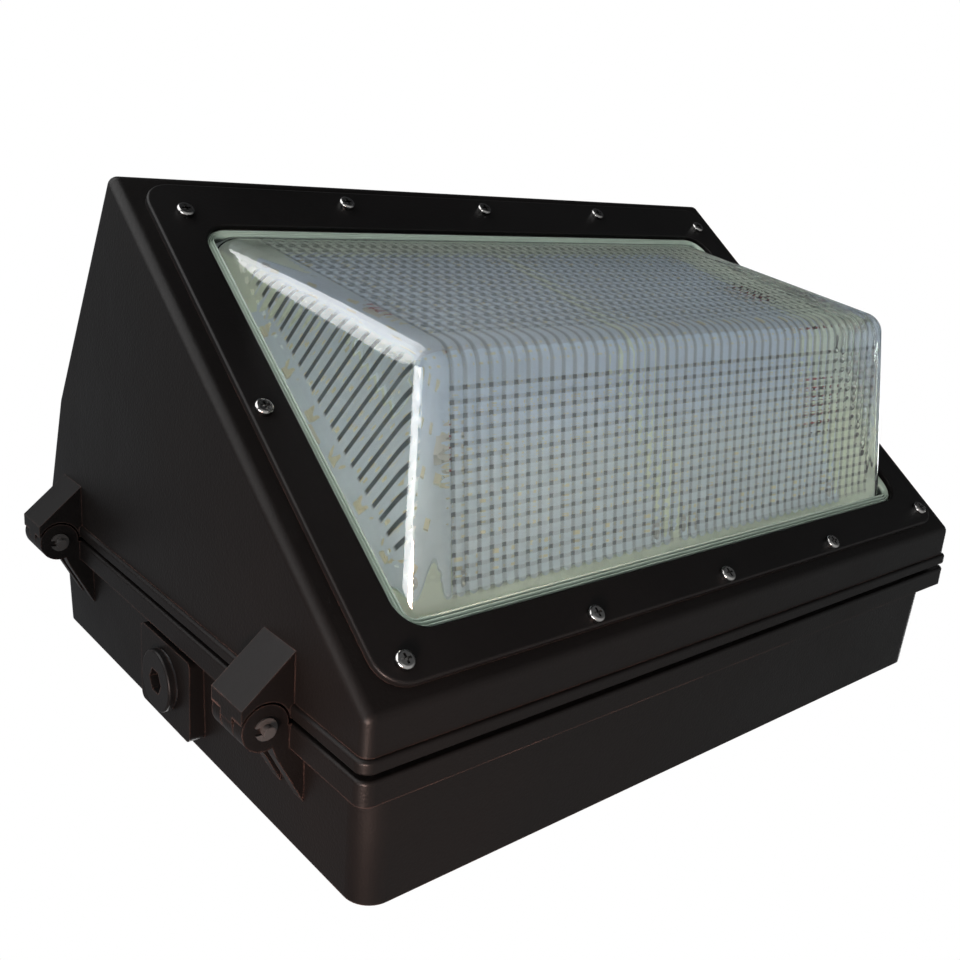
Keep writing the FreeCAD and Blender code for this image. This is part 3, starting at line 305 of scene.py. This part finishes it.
# ---- materials ------------------------------------------------------------------------------------------
def powder_coat(name, tone, roughness, grain):
    """Dark bronze powder coat: fine orange peel, cloudy gloss, dust in places, and a painted highlight of
    lighter warm brown along edges.
    """
    nodes = Nodes(name)
    cloud = nodes.noise(scale=14.0, detail=4.0)
    fine = nodes.noise(scale=2600.0, detail=2.0)
    dust = tuple(channel * lift for channel, lift in zip(tone, DUST_LIFT))
    colour = nodes.mix(nodes.stretched(fine, DUST_RANGE, 0.0, DUST_SHARE),
                       nodes.cloudy(cloud, tone, COAT_CLOUD), rgba(*dust))
    # painted highlight along edges, stronger in some patches than in others
    patches = nodes.spread(nodes.noise(scale=45.0, detail=4.0), *EDGE_HIGHLIGHT_RANGE)
    painted_edge_highlight = nodes.times(nodes.edges(), patches)
    peel = nodes.bump(nodes.noise(scale=900.0, detail=2.0, roughness=0.45), grain)
    nodes.feed(Base_Color=nodes.mix(painted_edge_highlight, colour, rgba(*EDGE_HIGHLIGHT_TONE)),
               Roughness=nodes.spread(cloud, *(roughness + gloss for gloss in COAT_GLOSS)),
               Normal=nodes.bump(nodes.noise(scale=60.0, detail=2.0), grain * SWELL_SHARE, under=peel))
    nodes.fix(Specular_IOR_Level=COAT_SPECULAR)
    return nodes.material


def finish_glass(nodes, roughness, ripple_scale=60.0, ripple=RIPPLE_DEPTH, transmission=1.0):
    """Uneven polish and faint ripples."""
    polish = nodes.noise(scale=220.0, detail=3.0)
    nodes.feed(Roughness=nodes.spread(polish, *(roughness * share for share in POLISH_GLOSS)),
               Normal=nodes.bump(nodes.noise(scale=ripple_scale, detail=2.0), ripple))
    nodes.fix(Transmission_Weight=transmission, IOR=GLASS_IOR)
    return nodes.material


def clear_glass(name, tint, roughness):
    nodes = Nodes(name)
    nodes.fix(Base_Color=rgba(*tint))
    return finish_glass(nodes, roughness)


def beaded_glass(name, tint, shade, roughness):
    """Pale glass foot with shade in the grooves between its beads."""
    nodes = Nodes(name)
    groove_floor = FLANGE_TOP - BEAD_GROOVE
    on_bead = nodes.ramp(nodes.slope_n(), groove_floor + ON_BEAD[0], groove_floor + ON_BEAD[1])
    nodes.feed(Base_Color=nodes.mix(on_bead, rgba(*shade), rgba(*tint)))
    return finish_glass(nodes, roughness, transmission=FOOT_CLEARNESS)


def face_shade(nodes, x, t, n, on_top):
    """Shade on the front and the top: squares and diamonds where flutes cross rows, and thin lines."""
    down = nodes.from_ridge(t, n, -math.cos(FRONT_LEAN), -math.sin(FRONT_LEAN))
    back = nodes.from_ridge(t, n, math.cos(BACK_LEAN), -math.sin(BACK_LEAN))
    run = nodes.maths("MAXIMUM", down, back)
    past_ridge = nodes.ramp(run, *ROWS_START)
    flutes, rows = nodes.wave(x, FLUTE_PITCH), nodes.wave(run, ROW_PITCH)
    squares = nodes.ramp(nodes.maths("MINIMUM", flutes, rows), *SQUARE_RAMP)
    diamonds = nodes.ramp(nodes.times(flutes, nodes.wave(run, TOP_ROW_PITCH)), *DIAMOND_RAMP)
    dots = nodes.maths("ADD", nodes.times(squares, nodes.maths("SUBTRACT", 1.0, on_top)),
                       nodes.times(diamonds, nodes.times(on_top, DIAMOND_SHARE)))
    lines = nodes.times(nodes.ramp(flutes, *LINE_RAMP), LINE_SHADE)
    cross_lines = nodes.times(nodes.ramp(rows, *LINE_RAMP), nodes.times(past_ridge, ROW_SHADE))
    shade = nodes.maths("MAXIMUM", nodes.times(dots, DOT_SHADE, past_ridge),
                        nodes.maths("MAXIMUM", lines, cross_lines))
    return nodes.times(shade, nodes.ramp(x, *FLUTES_END, rising=False),
                       nodes.ramp(n, *SHADE_ABOVE_FOOT))


def side_shade(nodes, t, n, on_side):
    """Bars straight out of the foot on the sides, up to the rounded edges."""
    def share(run, lean):
        return nodes.maths("DIVIDE", n, nodes.times(run, math.tan(lean)))

    front = share(nodes.maths("SUBTRACT", t, FOOT_LOW), FRONT_LEAN)
    back = share(nodes.maths("SUBTRACT", FOOT_HIGH, t), BACK_LEAN)
    below_edge = nodes.ramp(nodes.maths("MAXIMUM", front, back), *BARS_EDGE, rising=False)
    bars = nodes.times(nodes.ramp(nodes.wave(t, SIDE_PITCH), *BAR_RAMP), below_edge,
                       nodes.times(on_side, nodes.ramp(n, *BARS_ABOVE_FOOT)))
    return nodes.times(bars, BAR_SHADE)


def pressed_glass(name, low_tint, high_tint, top_tint, shade, roughness):
    """Glass whose grooves hold shade: dots and lines on the front and top, bars on the sides, none on
    the round corners. The top face is painted a darker grey as shade."""
    nodes = Nodes(name)
    x = nodes.maths("ABSOLUTE", nodes.along((1.0, 0.0, 0.0), 0.0))
    t, n = nodes.slope_t(), nodes.slope_n()
    on_top = nodes.maths("GREATER_THAN", t, RIDGE_UP)
    on_side = nodes.ramp(nodes.maths("MULTIPLY_ADD", n, math.tan(SIDE_LEAN), x), *ON_SIDE)
    facing = nodes.maths("SUBTRACT", 1.0, on_side)
    mask = nodes.maths("MAXIMUM", face_shade(nodes, x, t, n, on_top), side_shade(nodes, t, n, on_side))
    colour = nodes.mix(nodes.times(nodes.ramp(n, *TINT_RISE), facing), rgba(*low_tint), rgba(*high_tint))
    # painted shade: the top face, away from the sides, turns a darker grey
    colour = nodes.mix(nodes.times(on_top, facing), colour, rgba(*top_tint))
    nodes.feed(Base_Color=nodes.mix(mask, colour, rgba(*shade)))
    return finish_glass(nodes, roughness, ripple_scale=150.0, ripple=FLUTED_RIPPLE_DEPTH)


def metal(name, colour, roughness, streaks=(1.0, 1.0, 1.0)):
    """Metal with stains and fine scratches, drawn out where a streak scale is small."""
    nodes = Nodes(name)
    scratch = nodes.noise(scale=1500.0, detail=4.0, roughness=0.6, stretch=streaks)
    nodes.feed(Base_Color=nodes.cloudy(nodes.noise(scale=120.0, detail=3.0), colour, 1 - METAL_STAIN),
               Roughness=nodes.spread(scratch, *(roughness * share for share in METAL_GLOSS)),
               Normal=nodes.bump(scratch, SCRATCH_DEPTH))
    nodes.fix(Metallic=1.0)
    return nodes.material


def plastic(name, colour, roughness, grain_scale=1800.0, grain=0.00004, change=0.1):
    """Plastic, rubber or paint with a fine grain and clouds of a slightly duller colour."""
    nodes = Nodes(name)
    cloud = nodes.noise(scale=90.0, detail=3.0)
    nodes.feed(Base_Color=nodes.cloudy(cloud, colour, 1 - change),
               Roughness=nodes.spread(cloud, *(roughness + gloss for gloss in PLASTIC_GLOSS)),
               Normal=nodes.bump(nodes.noise(scale=grain_scale, detail=2.0), grain))
    return nodes.material


def make_materials():
    """A material for each slot, by the slot's name; Blender may number the material's own name."""
    made = {}

    def slot(maker, name, *values, **settings):
        made[name] = maker(name, *values, **settings)

    slot(powder_coat, "cast_bronze", (0.0019, 0.00155, 0.00145), 0.40, grain=0.00008)
    slot(powder_coat, "bezel_bronze", (0.0026, 0.0024, 0.0024), 0.36, grain=0.00005)
    slot(clear_glass, "refractor_glass", (0.985, 1.0, 0.975), 0.04)
    # the top face of the fluted glass gets a darker grey as painted shade
    slot(pressed_glass, "fluted_glass", low_tint=(0.97, 1.0, 0.88), high_tint=(0.84, 0.92, 1.0),
         top_tint=(0.62, 0.64, 0.67), shade=(0.015, 0.022, 0.022), roughness=0.04)
    slot(beaded_glass, "ground_glass", tint=(0.36, 0.44, 0.37), shade=(0.03, 0.04, 0.035),
         roughness=0.14)
    slot(plastic, "black_rubber", (0.012, 0.012, 0.013), 0.62, grain_scale=2400.0, grain=0.00006)
    slot(plastic, "clear_silicone", (0.30, 0.34, 0.32), 0.45, grain_scale=1500.0)
    slot(metal, "bright_steel", (0.20, 0.195, 0.19), 0.15)
    slot(metal, "zinc_steel", (0.62, 0.63, 0.64), 0.34)
    slot(plastic, "black_steel", (0.012, 0.011, 0.0105), 0.38, grain_scale=1400.0, grain=0.00003)
    slot(plastic, "green_steel", (0.02, 0.20, 0.05), 0.3)
    slot(plastic, "white_enamel", (0.86, 0.93, 0.81), 0.28, grain_scale=500.0, grain=0.00005, change=0.06)
    slot(metal, "plain_aluminium", (0.72, 0.73, 0.75), 0.38, streaks=(1.0, 0.08, 0.08))
    slot(plastic, "white_board", (0.76, 0.86, 0.98), 0.35, grain_scale=900.0, change=0.08)
    slot(plastic, "yellow_phosphor", (0.84, 0.81, 0.64), 0.4, grain_scale=3000.0, grain=0.00003,
         change=0.15)
    slot(plastic, "white_nylon", (0.74, 0.72, 0.66), 0.45)
    slot(plastic, "lead_jacket", (0.40, 0.02, 0.015), 0.42)
    slot(plastic, "driver_case", (0.022, 0.022, 0.024), 0.5, grain_scale=1200.0, grain=0.00008)
    slot(metal, "brass_terminal", (0.72, 0.52, 0.22), 0.3)
    return made


def dress_nodes(materials):
    for part in frame["record"]["subparts"]:
        shown = frame["nodes"][part["node"]]
        shown.data.materials.clear()
        shown.data.materials.append(materials[part["material_slot"]])


# ---- the glass: a wedge with rounded edges, fluted outside and stepped inside --------------------------
def wedge_planes(inset):
    """Outward normals and offsets of the wedge's four faces, moved inwards by inset (x, t, n)."""
    normals = np.array([[0.0, -math.sin(FRONT_LEAN), math.cos(FRONT_LEAN)],
                        [0.0, math.sin(BACK_LEAN), math.cos(BACK_LEAN)],
                        [-math.cos(SIDE_LEAN), 0.0, math.sin(SIDE_LEAN)],
                        [math.cos(SIDE_LEAN), 0.0, math.sin(SIDE_LEAN)]])
    points = np.array([[0.0, FOOT_LOW, 0.0], [0.0, FOOT_HIGH, 0.0],
                       [-FOOT_HALF_WIDTH, 0.0, 0.0], [FOOT_HALF_WIDTH, 0.0, 0.0]])
    return normals, (normals * points).sum(axis=1) - inset


def inside_wedge(points, inset):
    """The nearest point of the inset wedge to each point, by cyclic projection with memory."""
    normals, offsets = wedge_planes(inset)
    place = points.copy()
    memory = np.zeros((len(normals),) + points.shape)
    for _ in range(PROJECTION_ROUNDS):
        for k, normal in enumerate(normals):
            moved = place + memory[k]
            over = np.maximum(moved @ normal - offsets[k], 0.0)
            place = moved - over[:, None] * normal
            memory[k] = moved - place
    return place


def round_wedge(points, inset, radius):
    """Points near the wedge's faces, moved onto the wedge with edges rounded to radius, and normals."""
    core = inside_wedge(points, inset + radius)
    away = points - core
    away /= np.maximum(np.linalg.norm(away, axis=1), TINY)[:, None]
    return core + radius * away, away


def sharp_wedge(inset):
    """Low and high end of the foot, height and half width of the sharp wedge moved inwards."""
    low = FOOT_LOW + inset / math.sin(FRONT_LEAN)
    high = FOOT_HIGH - inset / math.sin(BACK_LEAN)
    front, back = math.tan(FRONT_LEAN), math.tan(BACK_LEAN)
    top = (high - low) * front * back / (front + back)

    def half_at(n):
        return FOOT_HALF_WIDTH - inset / math.cos(SIDE_LEAN) - n * math.tan(SIDE_LEAN)

    return low, high, top, half_at


def eased(count, share):
    """Steps from 0 to 1, closer together near both ends."""
    even = np.linspace(0.0, 1.0, count)
    return (1 - share) * even + share * (1 - np.cos(math.pi * even)) / 2


def across(middle, count, end_count):
    """Places from -1 to 1 across the wedge: count in the middle share, the rest at the ends."""
    end = 1 - middle
    return np.concatenate([-1 + end * np.linspace(0, 1, end_count)[:-1],
                           np.linspace(-middle, middle, count),
                           1 - end * np.linspace(1, 0, end_count)[1:]])


class Shell:
    """Collects grids of points as one mesh."""

    def __init__(self):
        self.points, self.faces, self.slots, self.total = [], [], [], 0

    def grid(self, points, flip, slot):
        rows, columns = points.shape[:2]
        index = self.total + np.arange(rows * columns).reshape(rows, columns)
        quads = np.stack([index[:-1, :-1], index[:-1, 1:], index[1:, 1:], index[1:, :-1]], axis=-1)
        quads = quads.reshape(-1, 4)
        self.faces.append(quads[:, ::-1] if flip else quads)
        self.points.append(points.reshape(-1, 3))
        self.slots += [slot] * len(quads)
        self.total += rows * columns

    def build(self, name, weld, *materials):
        mesh = bpy.data.meshes.new(name)
        places = from_slope(*np.concatenate(self.points).T)
        mesh.from_pydata(places.tolist(), [], np.concatenate(self.faces).tolist())
        mesh.polygons.foreach_set("material_index", self.slots)

        work = bmesh.new()
        work.from_mesh(mesh)
        bmesh.ops.remove_doubles(work, verts=work.verts, dist=weld)
        bmesh.ops.recalc_face_normals(work, faces=work.faces)
        for face in work.faces:
            face.smooth = True
        work.to_mesh(mesh)
        work.free()
        for material in materials:
            mesh.materials.append(material)
        obj = bpy.data.objects.new(name, mesh)
        bpy.context.scene.collection.objects.link(obj)
        return obj


def wedge_grids(inset, columns, front_rows, back_rows, side_rows):
    """Grids on the sharp wedge's faces: front and top with rows up the slope, sides with rows outwards."""
    low, high, top, half_at = sharp_wedge(inset)

    def levels(rows):
        return FLANGE_BOTTOM + eased(rows, FACE_EASE) * (top - FLANGE_BOTTOM)

    def front_at(n):
        return low + n / math.tan(FRONT_LEAN)

    def back_at(n):
        return high - n / math.tan(BACK_LEAN)

    def face(heights, t_of):
        n = np.repeat(heights[:, None], len(columns), axis=1)
        return np.stack([columns[None, :] * half_at(n), t_of(n), n], axis=-1)

    front_n, back_n = levels(front_rows), levels(back_rows)
    side_n = np.concatenate([front_n, back_n[::-1][1:]])
    side_t = np.concatenate([front_at(front_n), back_at(back_n)[::-1][1:]])
    rise = eased(side_rows, SIDE_EASE)
    n = FLANGE_BOTTOM + rise[:, None] * (side_n[None, :] - FLANGE_BOTTOM)
    t = np.repeat(side_t[None, :], side_rows, axis=0)
    return {"front": face(front_n, front_at), "back": face(back_n, back_at),
            "left": np.stack([-half_at(n), t, n], axis=-1),
            "right": np.stack([half_at(n), t, n], axis=-1)}


def smooth_step(value, low, high):
    share = np.clip((value - low) / (high - low), 0.0, 1.0)
    return share * share * (3 - 2 * share)


def flute(phase):
    """Convex ribs: 0 in the grooves, 1 on the crowns."""
    return np.abs(np.sin(math.pi * phase))


def outer_relief(name, points):
    """Flutes across the front and the top, fading out at the rounded corners and near the foot."""
    if name in ("left", "right"):
        return np.zeros(len(points))
    x, _, n = points.T
    fade = 1 - smooth_step(np.abs(x), FLUTES_HALF, FLUTES_HALF + FLUTES_FADE)
    fade *= smooth_step(n, *FOOT_FADE)
    return -FLUTE_HEIGHT * (1 - flute(x / FLUTE_PITCH)) * fade


def inner_relief(name, points):
    """Rows across the front and the top, and ribs that stand across the sides."""
    x, t, n = points.T
    if name in ("left", "right"):
        fade = smooth_step(n, *SIDE_FOOT_FADE) * smooth_step(t, *SIDE_LOW_FADE)
        front = n / np.maximum((t - FOOT_LOW) * math.tan(FRONT_LEAN), TINY)
        back = n / np.maximum((FOOT_HIGH - t) * math.tan(BACK_LEAN), TINY)
        fade *= 1 - smooth_step(np.maximum(front, back), *SIDE_EDGE_FADE)
        return -SIDE_HEIGHT * flute(t / SIDE_PITCH) * fade
    top = sharp_wedge(GLASS_WALL)[2]
    run = (top - n) / math.sin(FRONT_LEAN if name == "front" else BACK_LEAN)
    fade = 1 - smooth_step(np.abs(x), *ROWS_FADE_ACROSS)
    fade *= smooth_step(run, *ROWS_FADE_RUN) * smooth_step(n, *FOOT_FADE)
    return -ROW_HEIGHT * flute(run / ROW_PITCH) * fade


def add_skin(shell, inset, columns, rows, relief, flip, slot):
    """Adds the wedge's four faces, moved inwards, rounded and with their relief along the normal."""
    for name, grid in wedge_grids(inset, columns, *rows).items():
        rounded, away = round_wedge(grid.reshape(-1, 3), inset, GLASS_ROUND - inset)
        moved = rounded + away * relief(name, rounded)[:, None]
        shell.grid(moved.reshape(grid.shape), flip != (name in ("back", "left")), slot)


def make_glass_body(outer, inner):
    shell = Shell()
    fluted = int(2 * FLUTES_HALF / FLUTE_PITCH) * FLUTE_COLUMNS
    add_skin(shell, 0.0, across(OUTER_MIDDLE, fluted, OUTER_END_COLUMNS), OUTER_ROWS,
             outer_relief, flip=False, slot=0)
    add_skin(shell, GLASS_WALL, across(INNER_MIDDLE, INNER_COLUMNS, INNER_END_COLUMNS), INNER_ROWS,
             inner_relief, flip=True, slot=1)
    return shell.build("glass_body", BODY_WELD, outer, inner)


def rounded_loop(half_x, low, high, radius):
    """Points round a rectangle with round corners, the same number for any size."""
    centres = [(half_x - radius, high - radius, 0), (-half_x + radius, high - radius, 90),
               (-half_x + radius, low + radius, 180), (half_x - radius, low + radius, 270)]
    loop = []
    for cx, cy, start in centres:
        for turn in np.linspace(0, 90, CORNER_STEPS):
            angle = math.radians(start + turn)
            loop.append((cx + radius * math.cos(angle), cy + radius * math.sin(angle)))
    return np.array(loop)


def foot_profile(side_gap):
    """Section of the foot from its outer edge to the body: distance out of the body, and n."""
    outset, inner_end = side_gap + CLAMP, side_gap - LIP_GAP
    profile = [(outset, FLANGE_BOTTOM), (outset, FLANGE_TOP), (inner_end, FLANGE_TOP)]
    bead_width = (inner_end - BODY_GAP) / BEADS
    for bead in range(BEADS):
        start = inner_end - bead * bead_width
        for step in range(1, BEAD_STEPS + 1):
            turn = math.pi * step / BEAD_STEPS
            profile.append((start - bead_width * (1 - math.cos(turn)) / 2,
                            FLANGE_TOP - BEAD_GROOVE + BEAD_HEIGHT * math.sin(turn)))
    return profile + [(BODY_GAP, FLANGE_BOTTOM)]


def make_glass_foot(material):
    """The foot under the bezel, with three beads in the gap between the bezel and the body."""
    side_gap = WINDOW_HALF_WIDTH - FOOT_HALF_WIDTH
    low_gap, high_gap = FOOT_LOW - WINDOW_LOW, WINDOW_HIGH - FOOT_HIGH
    rings = []
    for out, height in foot_profile(side_gap):
        share, past = min(out / side_gap, 1.0), max(out - side_gap, 0.0)
        radius = FOOT_CORNER + CORNER_GROWTH * min(out, CORNER_GROWS_TO)
        loop = rounded_loop(FOOT_HALF_WIDTH + out, FOOT_LOW - low_gap * share - past,
                            FOOT_HIGH + high_gap * share + past, radius)
        rings.append(np.column_stack([loop, np.full(len(loop), height)]))
    grid = np.array(rings + rings[:1])
    shell = Shell()
    shell.grid(np.concatenate([grid, grid[:, :1]], axis=1), flip=False, slot=0)
    return shell.build("glass_foot", FOOT_WELD, material)


# ---- camera, lights, surroundings and floor --------------------------------------------------------------
def make_camera():
    data = bpy.data.cameras.new("camera")
    data.lens, data.sensor_width = LENS, SENSOR
    data.clip_start, data.clip_end = CLIP
    camera = bpy.data.objects.new("camera", data)
    place = Matrix((CAMERA_RIGHT, CAMERA_UP, -Vector(CAMERA_FORWARD))).transposed().to_4x4()
    place.translation = CAMERA_PLACE
    camera.matrix_world = place
    bpy.context.scene.collection.objects.link(camera)
    bpy.context.scene.camera = camera


def add_light(name, kind, place, target, power, colour):
    """A light that the camera doesn't see, aimed at the target; returns its data."""
    data = bpy.data.lights.new(name, kind)
    data.energy, data.color = power, colour
    light = bpy.data.objects.new(name, data)
    light.location = place
    aim = Vector(target) - Vector(place)
    light.rotation_euler = aim.to_track_quat("-Z", "Y").to_euler()
    light.visible_camera = False
    bpy.context.scene.collection.objects.link(light)
    return data


def make_lights():
    """Soft lights, the key one in front and to the left, and a warm spot on the near lower corner."""
    for name, place, target, size, power, colour in AREA_LIGHTS:
        data = add_light(name, "AREA", place, target, power, colour)
        data.shape, data.size, data.size_y = "RECTANGLE", *size
    data = add_light("warm_corner", "SPOT", SPOT_PLACE, SPOT_TARGET, SPOT_POWER, SPOT_COLOUR)
    data.spot_size, data.spot_blend = math.radians(SPOT_CONE), 1.0
    data.shadow_soft_size = SPOT_SOFTNESS


def make_world():
    """Soft pale surroundings, dimmer on one side; the camera sees them plain white."""
    world = bpy.data.worlds.new("studio")
    world.use_nodes = True
    nodes, link = world.node_tree.nodes, world.node_tree.links.new
    seen, dim = nodes["Background"], nodes.new("ShaderNodeBackground")
    seen.inputs["Color"].default_value = rgba(*WHITE)
    seen.inputs["Strength"].default_value = 1.0
    dim.inputs["Color"].default_value = rgba(*WORLD_TINT)
    toward_dark = nodes.new("ShaderNodeVectorMath")
    toward_dark.operation = "DOT_PRODUCT"
    toward_dark.inputs[1].default_value = DARK_SIDE
    fall = nodes.new("ShaderNodeMapRange")
    for key, value in WORLD_FALL.items():
        fall.inputs[key].default_value = value
    mix = nodes.new("ShaderNodeMixShader")
    link(nodes.new("ShaderNodeTexCoord").outputs["Generated"], toward_dark.inputs[0])
    link(toward_dark.outputs["Value"], fall.inputs["Value"])
    link(fall.outputs["Result"], dim.inputs["Strength"])
    link(nodes.new("ShaderNodeLightPath").outputs["Is Camera Ray"], mix.inputs["Fac"])
    link(dim.outputs["Background"], mix.inputs[1])
    link(seen.outputs["Background"], mix.inputs[2])
    link(mix.outputs["Shader"], nodes["World Output"].inputs["Surface"])
    bpy.context.scene.world = world


def floor_paint():
    """Matt pale floor that the camera sees evenly lit."""
    nodes = Nodes("pale_floor")
    nodes.fix(Base_Color=rgba(*FLOOR_PAINT), Roughness=FLOOR_ROUGHNESS)
    even = nodes.add("ShaderNodeEmission", {"Color": rgba(*FLOOR_SEEN), "Strength": 1.0})
    mix = nodes.add("ShaderNodeMixShader")
    nodes.link(nodes.add("ShaderNodeLightPath").outputs["Is Camera Ray"], mix.inputs["Fac"])
    nodes.link(nodes.shader.outputs["BSDF"], mix.inputs[1])
    nodes.link(even.outputs["Emission"], mix.inputs[2])
    nodes.link(mix.outputs["Shader"], nodes.tree.nodes["Material Output"].inputs["Surface"])
    return nodes.material


def make_floor():
    mesh = bpy.data.meshes.new("floor")
    corners = [(x * FLOOR_REACH, y * FLOOR_REACH, FLOOR_HEIGHT)
               for x, y in ((-1, -1), (1, -1), (1, 1), (-1, 1))]
    mesh.from_pydata(corners, [], [(0, 1, 2, 3)])
    mesh.materials.append(floor_paint())
    floor = bpy.data.objects.new("floor", mesh)
    bpy.context.scene.collection.objects.link(floor)


def main():
    materials = make_materials()
    dress_nodes(materials)
    glass_body = make_glass_body(materials["fluted_glass"], materials["refractor_glass"])
    glass_foot = make_glass_foot(materials["ground_glass"])
    for piece in (glass_body, glass_foot):
        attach(piece, "door")
        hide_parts("glass_refractor")
    make_camera()
    make_lights()
    make_world()
    make_floor()
    bpy.context.scene.view_settings.view_transform = "Standard"


main()
